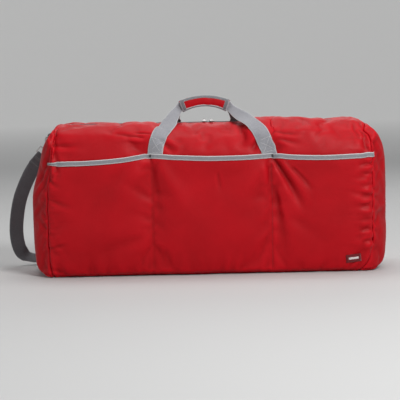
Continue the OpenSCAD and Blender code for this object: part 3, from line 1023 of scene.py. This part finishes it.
# Where the legs are sewn on and where they leave the bag; keys are the end (-1 left), side (-1 front)
LEG_FOOT = {-1: -135 * MM, 1: 147 * MM}
LEAVE_X = {(-1, -1): -110 * MM, (1, -1): 108 * MM, (-1, 1): -96 * MM, (1, 1): 92 * MM}
LEG_CURVE = {(-1, -1): 1.9, (1, -1): 1.43, (-1, 1): 1.6, (1, 1): 1.6}
LEAVE_Y, LEAVE_Z = 82 * MM, 363 * MM
SKIN_STEPS = 26
HANDLE_LIFT = 1.3 * MM


def on_arch(theta, y, up=0.0):
    """Point over the grip's arch, theta from its middle."""
    return Vector((grip_mid + (arch_r + up) * math.sin(theta), y, arch_z + (arch_r + up) * math.cos(theta)))


def angles(half, count):
    """Angles from -half to half in even steps."""
    return [half * (-1 + 2 * k / count) for k in range(count + 1)]


def grip_core_point(theta, side_y):
    """Place of the folded webbing inside the grip."""
    return on_arch(theta, side_y * 2.3 * MM)


def leg_knots(side_x, side_y):
    """Points and facings of a handle's leg, from its sewn foot up to the grip's end."""
    path, facing = [], []
    low_angle = math.atan2(band_z - 4 * MM - SOFT_LEVEL, half_d)
    high_angle = math.atan2(LEAVE_Z - SOFT_LEVEL, LEAVE_Y)
    foot, leave = LEG_FOOT[side_x], LEAVE_X[side_x, side_y]
    for k in range(SKIN_STEPS + 1):
        s = k / SKIN_STEPS
        x = foot + (leave - foot) * s ** LEG_CURVE[side_x, side_y]
        p, n = around_at(x, low_angle + (high_angle - low_angle) * s, side_y, HANDLE_LIFT)
        path.append(p)
        facing.append(n)
    path, facing = even_out(path, 2), even_out(facing, 3)
    start, normal = path[-1], facing[-1]
    end = grip_core_point(side_x * (arch_half + math.radians(2.0)), side_y) - Vector((0, 0, 5 * MM))
    out = Vector((0, side_y, 0.25))
    way = (path[-1] - path[-3]).normalized()
    reach = (end - start).length
    bend = (start + way * 0.2 * reach, end + Vector((side_x * 0.48, side_y * 0.75, -0.44)) * 0.3 * reach)
    steps = 16
    for k in range(1, steps + 1):
        t = k / steps
        path.append(start * (1 - t) ** 3 + bend[0] * 3 * t * (1 - t) ** 2 + bend[1] * 3 * t * t * (1 - t)
                    + end * t ** 3)
        facing.append(normal.lerp(out, smoothstep(0, 1, t)))
    return path, facing


def even_out(values, rounds):
    """Averages each vector with its neighbours; the first and last stay."""
    for _ in range(rounds):
        inner = [(a + b * 2 + c) / 4 for a, b, c in zip(values, values[1:], values[2:])]
        values = [values[0], *inner, values[-1]]
    return values


def surface_under(p, n):
    """Place where the line through a point along n meets the skin, within 40 mm of it, or None."""
    return body_tree.ray_cast(p + n * 40 * MM, -n, 80 * MM)[0]


def hug_skin(piece, path, facing, lift, first, last):
    """Presses the part of a ribbon between two path steps onto the skin, and the rest out of it."""
    size = len(piece.data.vertices) // len(path)
    clear = 12
    for i in range(max(0, first - clear), min(len(path) - 1, last + clear) + 1):
        _, up = axes_at(path, facing, i)
        for vertex in piece.data.vertices[i * size:(i + 1) * size]:
            base = vertex.co - up * (vertex.co - path[i]).dot(up)
            hit = surface_under(base, up)
            if hit is None:
                continue
            gap = (hit - base).dot(up) + lift
            if gap < 0:
                gap = 0.6 * gap if first <= i <= last else 0.0
            vertex.co += up * gap


def handle_path(side_y):
    """Whole path of one handle from its left foot through the grip to its right foot."""
    left_path, left_facing = leg_knots(-1, side_y)
    right_path, right_facing = leg_knots(1, side_y)
    middle = [grip_core_point(theta, side_y) for theta in angles(arch_half, 24)]
    path = left_path + middle + right_path[::-1]
    facing = left_facing + [Vector((0, side_y, 0))] * len(middle) + right_facing[::-1]
    folded = web_w - 20 * MM
    widths = []
    for p in path:
        beyond = abs(p.x - grip_mid) - GRIP_L / 2
        narrow = 0.0 if p.z < top_z + 8 * MM else 1 - smoothstep(-2 * MM, 42 * MM, beyond)
        widths.append(web_w - folded * narrow)
    return path, facing, widths


def on_ribbon(path, facing, along, across):
    """Point and normal on a ribbon, by distances along and across it."""
    total = 0.0
    for i in range(len(path) - 1):
        step = (path[i + 1] - path[i]).length
        if total + step >= along:
            t = (along - total) / step
            tangent = (path[i + 1] - path[i]).normalized()
            up = facing[i].lerp(facing[i + 1], t)
            up = (up - tangent * up.dot(tangent)).normalized()
            return path[i].lerp(path[i + 1], t) + tangent.cross(up) * across, up
        total += step
    return path[-1].copy(), facing[-1].normalized()


def box_stitch_rows(path, facing, low, high, half):
    """A sewn box with a cross in it, as rows of points and normals on a ribbon."""
    a, b, c, d = (low, -half), (high, -half), (high, half), (low, half)
    count = 14
    return [[on_ribbon(path, facing, start[0] + (end[0] - start[0]) * k / count,
                       start[1] + (end[1] - start[1]) * k / count) for k in range(count + 1)]
            for start, end in ((a, b), (b, c), (c, d), (d, a), (a, c), (b, d))]


def press_on(p, n, lift):
    """A place beside the skin carried to a height above it."""
    return (surface_under(p, n) or p) + n * lift, n


def build_handles():
    for side_y, name in ((-1, "front"), (1, "back")):
        path, facing, widths = handle_path(side_y)
        strap = ribbon(name + "_handle", path, facing, web_w, 2.0 * MM, webbing, 10, dark_web, widths)
        last, pressed = len(path) - 1, SKIN_STEPS - 3
        hug_skin(strap, path, facing, HANDLE_LIFT, 0, pressed)
        hug_skin(strap, path, facing, HANDLE_LIFT, last - pressed, last)
        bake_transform(strap)
        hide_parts(name + "_handle_anchors", name + "_handle_webbing")
        rows = []
        for route, turn in ((path, facing), (path[::-1], facing[::-1])):
            for line in box_stitch_rows(route, turn, 11 * MM, 45 * MM, 0.42 * web_w):
                rows.append([press_on(p, n, 2.45 * MM) for p, n in line])
        sewn = stitches(name + "_handle_stitches", rows, pale_thread, 3.4 * MM, 2.7 * MM, 0.42 * MM)
        finish_piece(sewn, "root", "handle_webbing")


# ---------------------------------------------------------------- the padded grip
FLAP_TOP, FLAP_FOOT = math.radians(12), math.radians(138)
FLAP_ROUND = 31 * MM
PAD_T = 2.3 * MM


def grip_point(theta, phi, lift=0.0):
    """Point on the grip's padding: theta along the arch, phi round it from the top over the front."""
    plump = 1.0 + 0.05 * math.cos(math.pi / 2 * theta / arch_half)
    boxy = 0.78
    c, s = math.cos(phi), math.sin(phi)
    up = math.copysign(abs(c) ** boxy, c) * (GRIP_H * plump - 0.6 * MM + lift)
    if c < 0:
        up *= 1.0 + 0.3 * (theta / arch_half) ** 2
    front = math.copysign(abs(s) ** boxy, s) * (GRIP_T * plump - 0.4 * MM + lift)
    return on_arch(theta, -front, up)


def grip_wrinkle(theta, phi):
    """Height of the grip's creases, sharper towards its ends; the cloth lies flat under the tapes."""
    along, to_end = theta * arch_r, (arch_half - abs(theta)) * arch_r
    soft = 0.9 * MM * wander((along, phi * 10 * MM, 0), 16 * MM, 11)
    sharp = 1.1 * MM * math.exp(-to_end / (14 * MM))
    sharp *= crease(wander((along * 0.3, phi * 10 * MM, 0), 7 * MM, 12))
    free = smoothstep(7 * MM, 14 * MM, to_end)
    if FLAP_TOP <= phi <= FLAP_FOOT:
        free *= smoothstep(math.radians(30), math.radians(62), phi)
    return (soft + sharp) * free - 0.3 * MM * (1 - free)


def face_outward(piece):
    """Turns a sheet's faces away from the grip's centre line if most of them look at it."""
    score = 0.0
    for face in piece.data.polygons:
        middle = on_arch(math.atan2(face.center.x - grip_mid, face.center.z - arch_z), 0)
        score += (face.center - middle).dot(face.normal) * face.area
    if score < 0:
        piece.data.flip_normals()
    return piece


def sheet(name, rows, material):
    """Grid surface through rows of points."""
    wide = len(rows[0])
    made_faces = [(r * wide + c, r * wide + c + 1, (r + 1) * wide + c + 1, (r + 1) * wide + c)
                  for r in range(len(rows) - 1) for c in range(wide - 1)]
    return mesh_object(name, [p for row in rows for p in row], made_faces, material)


def grip_cloth(name, phi_from, phi_to, around, body):
    """Padded cloth round the grip between two angles."""
    turns = [phi_from + (phi_to - phi_from) * c / around for c in range(around + 1)]
    rows = [[grip_point(theta, phi, grip_wrinkle(theta, phi)) for phi in turns]
            for theta in angles(arch_half, 56)]
    piece = face_outward(sheet(name + "_cloth", rows, nylon))
    finish_piece(thicken(piece, PAD_T), body, "shell_fabric", name)


def grip_band(name, rows, across, along, material, thickness, body, *replaced):
    """Binding tape lying on the grip; across and along are the UVs of its columns and rows."""
    piece = sheet(name, rows, material)
    lay_uvs(piece, across, along)
    finish_piece(thicken(face_outward(piece), thickness), body, "binding_tape", *replaced)


def flap_edge():
    """Outline of the flap's bound edge: (along, down, inward along, inward down) in metres."""
    half, turn, steps, across_top = GRIP_L / 2, 9 * MM, 8, 40
    outline = [(-half, FLAP_ROUND + (turn - FLAP_ROUND) * k / steps, 1.0, 0.0) for k in range(steps + 1)]
    for k in range(1, steps + 1):
        c, s = math.cos(math.pi / 2 * k / steps), math.sin(math.pi / 2 * k / steps)
        outline.append((-half + turn - turn * c, turn - turn * s, c, s))
    mirrored = [(-s, d, -ns, nd) for s, d, ns, nd in reversed(outline)]
    top = [(-half + turn + (2 * half - 2 * turn) * k / across_top, 0.0, 0.0, 1.0)
           for k in range(1, across_top)]
    return outline + top + mirrored


def flap_place(along, down, lift):
    return grip_point(along / arch_r, FLAP_TOP + (FLAP_FOOT - FLAP_TOP) * down / FLAP_ROUND, lift)


def build_flap_edge():
    """Tape folded over the flap's free edges, with its stitches."""
    offsets = mm(-2.0, 0.3, 2.5, 4.6, 6.8, 8.4, 9.2)
    lifts = mm(-0.6, 0.75, 1.1, 1.15, 1.1, 0.8, 0.2)
    sewn_at = grip_tape_w - 1.6 * MM
    rows, along, stitch_row = [], [0.0], []
    for s, d, ns, nd in flap_edge():
        nd *= 1.35
        rows.append([flap_place(s + ns * o, d + nd * o, lift) for o, lift in zip(offsets, lifts)])
        if len(rows) > 1:
            along.append(along[-1] + (rows[-1][3] - rows[-2][3]).length)
        p, q = (flap_place(s + ns * sewn_at, d + nd * sewn_at, lift) for lift in mm(1.15, 2.15))
        stitch_row.append((p, (q - p).normalized()))
    grip_band("grip_edge_tape", rows, [o - grip_tape_w / 2 for o in offsets], along, grip_tape, 3.2 * MM,
              "grip_flap", "grip_binding")
    finish_piece(stitches("grip_edge_stitches", [stitch_row], grey_thread), "grip_flap", "binding_tape")


def build_grip():
    lap = math.radians(3)
    grip_cloth("grip_flap", FLAP_TOP, FLAP_FOOT, 26, "grip_flap")
    grip_cloth("grip_wrap", FLAP_TOP - lap, FLAP_FOOT - 2 * math.pi + lap, 44, "carry_handle")
    build_flap_edge()
    build_grip_ends()
    build_grip_foot()
    for kind, y, thickness, body in (("loop", -4.75 * MM, 0.5 * MM, "carry_handle"),
                                     ("hook", -5.45 * MM, 0.6 * MM, "grip_flap")):
        path = [on_arch(theta, y) for theta in angles(arch_half - math.radians(2), 30)]
        front = [Vector((0, -1, 0))] * len(path)
        strip = ribbon(f"grip_{kind}_pile", path, front, 14 * MM, thickness, pile_stuff)
        finish_piece(strip, body, "hook_and_loop", f"grip_{kind}_strip")


def build_grip_ends():
    """Tape over the wrap's two ends, from the flap's hinge round the back to the top."""
    band_w, girth, around = 9 * MM, 60 * MM, 40
    offsets = mm(-1.8, 0.2, 3.0, 5.5, 8.0, 9.0)
    lifts = mm(-0.7, 0.55, 0.8, 0.8, 0.6, 0.1)
    turns = [FLAP_TOP + (FLAP_FOOT - 2 * math.pi - FLAP_TOP) * k / around for k in range(around + 1)]
    for side, name in ((-1, "left"), (1, "right")):
        rows = [[grip_point(side * (arch_half - o / arch_r), phi, lift) for o, lift in zip(offsets, lifts)]
                for phi in turns]
        grip_band(name + "_grip_end_tape", rows, [o - band_w / 2 for o in offsets],
                  [k * girth / around for k in range(around + 1)], grip_tape, 3.0 * MM, "carry_handle")


def build_grip_foot():
    """Narrow tape along the flap's hinge, between the two end tapes."""
    turns = [FLAP_FOOT + math.radians(a) for a in (-5, 0, 9, 19, 28, 33)]
    lifts = mm(-0.4, 1.5, 2.0, 2.0, 1.5, -0.4)
    arch = angles(arch_half, 44)
    rows = [[grip_point(theta, phi, lift) for phi, lift in zip(turns, lifts)] for theta in arch]
    grip_band("grip_foot_tape", rows, mm(-5.5, -3.3, -1.1, 1.1, 3.3, 5.5), [theta * arch_r for theta in arch],
              tape, 1.6 * MM, "carry_handle")


# ---------------------------------------------------------------- ring tabs
def build_ring_tabs():
    tab_w, tab_l, layer_t = 25 * MM, 38 * MM, 1.7 * MM
    closed, wide = 1.0 * MM, 3.1 * MM
    lean = math.radians(30)
    back, out = Vector((0, -math.cos(lean), math.sin(lean))), Vector((0, math.sin(lean), math.cos(lean)))
    marks = [tab_l * (1 - k / 12) for k in range(12)]

    def spread(d):
        """Half the gap between the tab's two layers at a distance from the ring."""
        return closed + (wide - closed) * (1 - smoothstep(2 * MM, 12 * MM, d))

    for name in ("left", "right"):
        low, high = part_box(name + "_ring")
        bar = Vector(((low.x + high.x) / 2, (low.y + high.y) / 2, high.z - 2 * MM))
        edge_x = bar.x + math.copysign(tab_w / 2, bar.x)

        def layer(d, way):
            """A layer of the tab, which leans in with the bag's shoulder and stays put at the ring."""
            p = bar + back * d + way * spread(d)
            moved = draw_in((edge_x, p.y, p.z))[0] - edge_x
            return p + Vector((moved * smoothstep(4 * MM, 30 * MM, d), 0, 0))

        turn_path, turn_facing = half_turn(bar, out, back, wide)
        path = [layer(d, out) for d in marks] + turn_path + [layer(d, -out) for d in reversed(marks)]
        facing = [out] * len(marks) + turn_facing + [-out] * len(marks)
        tab = ribbon(name + "_ring_webbing", path, facing, tab_w, layer_t, strap_web, 8)
        finish_piece(tab, "root", "strap_webbing", name + "_ring_tab")
        rows = [[(bar + back * d + out * (spread(d) + 0.95 * MM) + Vector((u, 0, 0)), out)
                 for u in mm(-10, 0, 10)] for d in mm(13, 17)]
        finish_piece(stitches(name + "_ring_stitches", rows, grey_thread), "root", "strap_webbing")


# ---------------------------------------------------------------- shoulder strap
plane_y = (ring_low.y + ring_high.y) / 2
FRONT = Vector((0, -1, 0))
# The strap's course between its ends, in mm: x, distance behind the rings' plane, and z
STRAP_COURSE = [(-462, 0, 244), (-490, 0, 180), (-502, 0, 114), (-501, 1, 66), (-489, 3, 34), (-463, 7, 20),
                (-425, 8, 19), (-340, 4, 21), (-220, 0, 22), (0, 0, 22), (200, 0, 22), (310, 0, 23),
                (352, 0, 40), (372, 0, 90), (380, 0, 190)]


def strap_end(side):
    """Place of the bar that the strap turns round at one end, and the strap's way from it."""
    tilt = math.radians(42 if side < 0 else 15)
    to_bar = 40 * MM
    ring_x = -side * (ring_low.x + ring_high.x) / 2
    bar = Vector((ring_x - to_bar * math.sin(tilt), plane_y, ring_low.z + 2 * MM - to_bar * math.cos(tilt)))
    return bar, Vector((-math.sin(tilt), 0, -math.cos(tilt)))


def strap_facing(p):
    """Way that the strap's back looks: it sways where it hangs and leans where it lies low on the left."""
    low_run = smoothstep(-500 * MM, -470 * MM, p.x) * (1 - smoothstep(-400 * MM, -250 * MM, p.x))
    lean = math.radians(58) * low_run * (1 - smoothstep(30 * MM, 75 * MM, p.z))
    sway = math.radians(9) * math.sin(p.z / (70 * MM)) * smoothstep(60 * MM, 120 * MM, p.z)
    return -Vector((math.sin(sway), -math.cos(lean), math.sin(lean)))


def strap_end_turn(bar, way):
    """Strap's sewn end: from its tail in front of the strap, up, over the eye's bar and down behind."""
    closed, wide = 2.0 * MM, 2.9 * MM
    tail = [bar + way * d + FRONT * (closed + (wide - closed) * (1 - smoothstep(3 * MM, 12 * MM, d)))
            for d in mm(34, 24, 14, 10, 6, 3)]
    over, turned = half_turn(bar, FRONT, way, wide)
    behind = [bar + way * d - FRONT * (wide * (1 - smoothstep(2 * MM, 14 * MM, d))) for d in mm(3, 6, 10)]
    return tail + over + behind, [FRONT] * len(tail) + turned + [-FRONT] * len(behind)


def build_strap():
    ends = [strap_end(side) for side in (-1, 1)]
    first, last = (bar + way * 16 * MM for bar, way in ends)
    course = [Vector((x * MM, plane_y + out * MM, z * MM)) for x, out, z in STRAP_COURSE]
    path = spline([first, *course, last], 9 * MM)
    (left_path, left_facing), (right_path, right_facing) = (strap_end_turn(*end) for end in ends)
    facing = left_facing + [strap_facing(p) for p in path] + right_facing[::-1]
    path = left_path + path + right_path[::-1]
    strap = ribbon("shoulder_strap_webbing", path, facing, strap_w, 1.8 * MM, strap_web, 8)
    finish_piece(strap, "strap", "strap_webbing", "shoulder_strap")
    rows = [[(bar + way * d + way.cross(FRONT) * u + FRONT * 3.05 * MM, FRONT) for u in mm(-14, 0, 14)]
            for bar, way in ends for d in mm(11, 15, 29)]
    finish_piece(stitches("shoulder_strap_stitches", rows, pale_thread), "strap", "strap_webbing")


build_padding()
build_lining()
build_zip()
dress_hard_parts()
build_handles()
build_grip()
build_ring_tabs()
build_strap()


# ---------------------------------------------------------------- stage, lights and camera
def floor_material(near, far):
    """Pale matte floor that glows softly far out, so the wall behind the bag stays pale."""
    pale = (0.62, 0.62, 0.615)
    look = plain_look("studio_floor", pale, 0.9, 900.0, 0.1)
    length = look.node("VectorMath")
    length.operation = "LENGTH"
    look.plug(length.inputs[0], look.place())
    glow = look.remap(length.outputs["Value"], near, far, 0.0, 0.42)
    return look.finish(Emission_Color=(*pale, 1.0), Emission_Strength=glow)


def build_stage():
    """Round pale floor that curves up into a wall well outside every view."""
    flat, curve, wall_top, around, sweep = 6.5, 1.5, 4.0, 64, 10
    profile = [(0.5, 0.0), (2.0, 0.0), (flat, 0.0)]
    for k in range(1, sweep + 1):
        rise = math.pi / 2 * k / sweep
        profile.append((flat + curve * math.sin(rise), curve - curve * math.cos(rise)))
    profile.append((flat + curve, wall_top))
    made_points = [(0.0, 0.0, 0.0)]
    for r, z in profile:
        made_points += [(r * math.cos(2 * math.pi * k / around), r * math.sin(2 * math.pi * k / around), z)
                        for k in range(around)]
    made_faces = [(0, 1 + k, 1 + (k + 1) % around) for k in range(around)]
    for ring in range(len(profile) - 1):
        start = 1 + ring * around
        for k in range(around):
            n = (k + 1) % around
            made_faces.append((start + k, start + around + k, start + around + n, start + n))
    mesh_object("floor", made_points, made_faces, floor_material(2.2, flat))


def area_light(name, place, size, power):
    data = bpy.data.lights.new(name, "AREA")
    data.shape = "RECTANGLE"
    data.size, data.size_y = size
    data.energy = power
    lamp = bpy.data.objects.new(name, data)
    lamp.location = place
    target = Vector((0, 0, 0.2))
    lamp.rotation_euler = (target - Vector(place)).to_track_quat("-Z", "Y").to_euler()
    bpy.context.scene.collection.objects.link(lamp)


def build_lights():
    area_light("key", (1.2, -2.2, 2.0), (1.0, 0.8), 66)
    area_light("fill", (-1.8, -1.9, 1.0), (1.6, 1.6), 8)
    area_light("top", (0.1, 0.3, 2.6), (2.0, 1.2), 32)
    area_light("back", (0.3, 2.2, 1.6), (1.8, 1.2), 12)
    world = bpy.data.worlds.new("studio")
    world.use_nodes = True
    sky = world.node_tree.nodes["Background"].inputs
    sky["Color"].default_value = (0.95, 0.97, 1.0, 1.0)
    sky["Strength"].default_value = 0.22
    bpy.context.scene.world = world


def build_camera():
    """Long lens a little above the bag's middle, a touch left of square on and rolled one degree."""
    azimuth, elevation, roll = math.radians(-1.5), math.radians(6.0), math.radians(1.1)
    # view_w is the width of the view at the bag's middle
    distance, sensor, view_w = 4.2, 36.0, 1.02
    data = bpy.data.cameras.new("camera")
    data.sensor_width = sensor
    data.lens = sensor * distance / view_w
    camera = bpy.data.objects.new("camera", data)
    aim = Vector((-23 * MM, 0.0, 177 * MM))
    out = Vector((math.sin(azimuth) * math.cos(elevation), -math.cos(azimuth) * math.cos(elevation),
                  math.sin(elevation)))
    camera.location = aim + out * distance
    turn = (-out).to_track_quat("-Z", "Y").to_matrix() @ Matrix.Rotation(-roll, 3, "Z")
    camera.rotation_euler = turn.to_euler()
    bpy.context.scene.collection.objects.link(camera)
    bpy.context.scene.camera = camera


bpy.context.scene.view_settings.view_transform = "Standard"
build_stage()
build_lights()
build_camera()
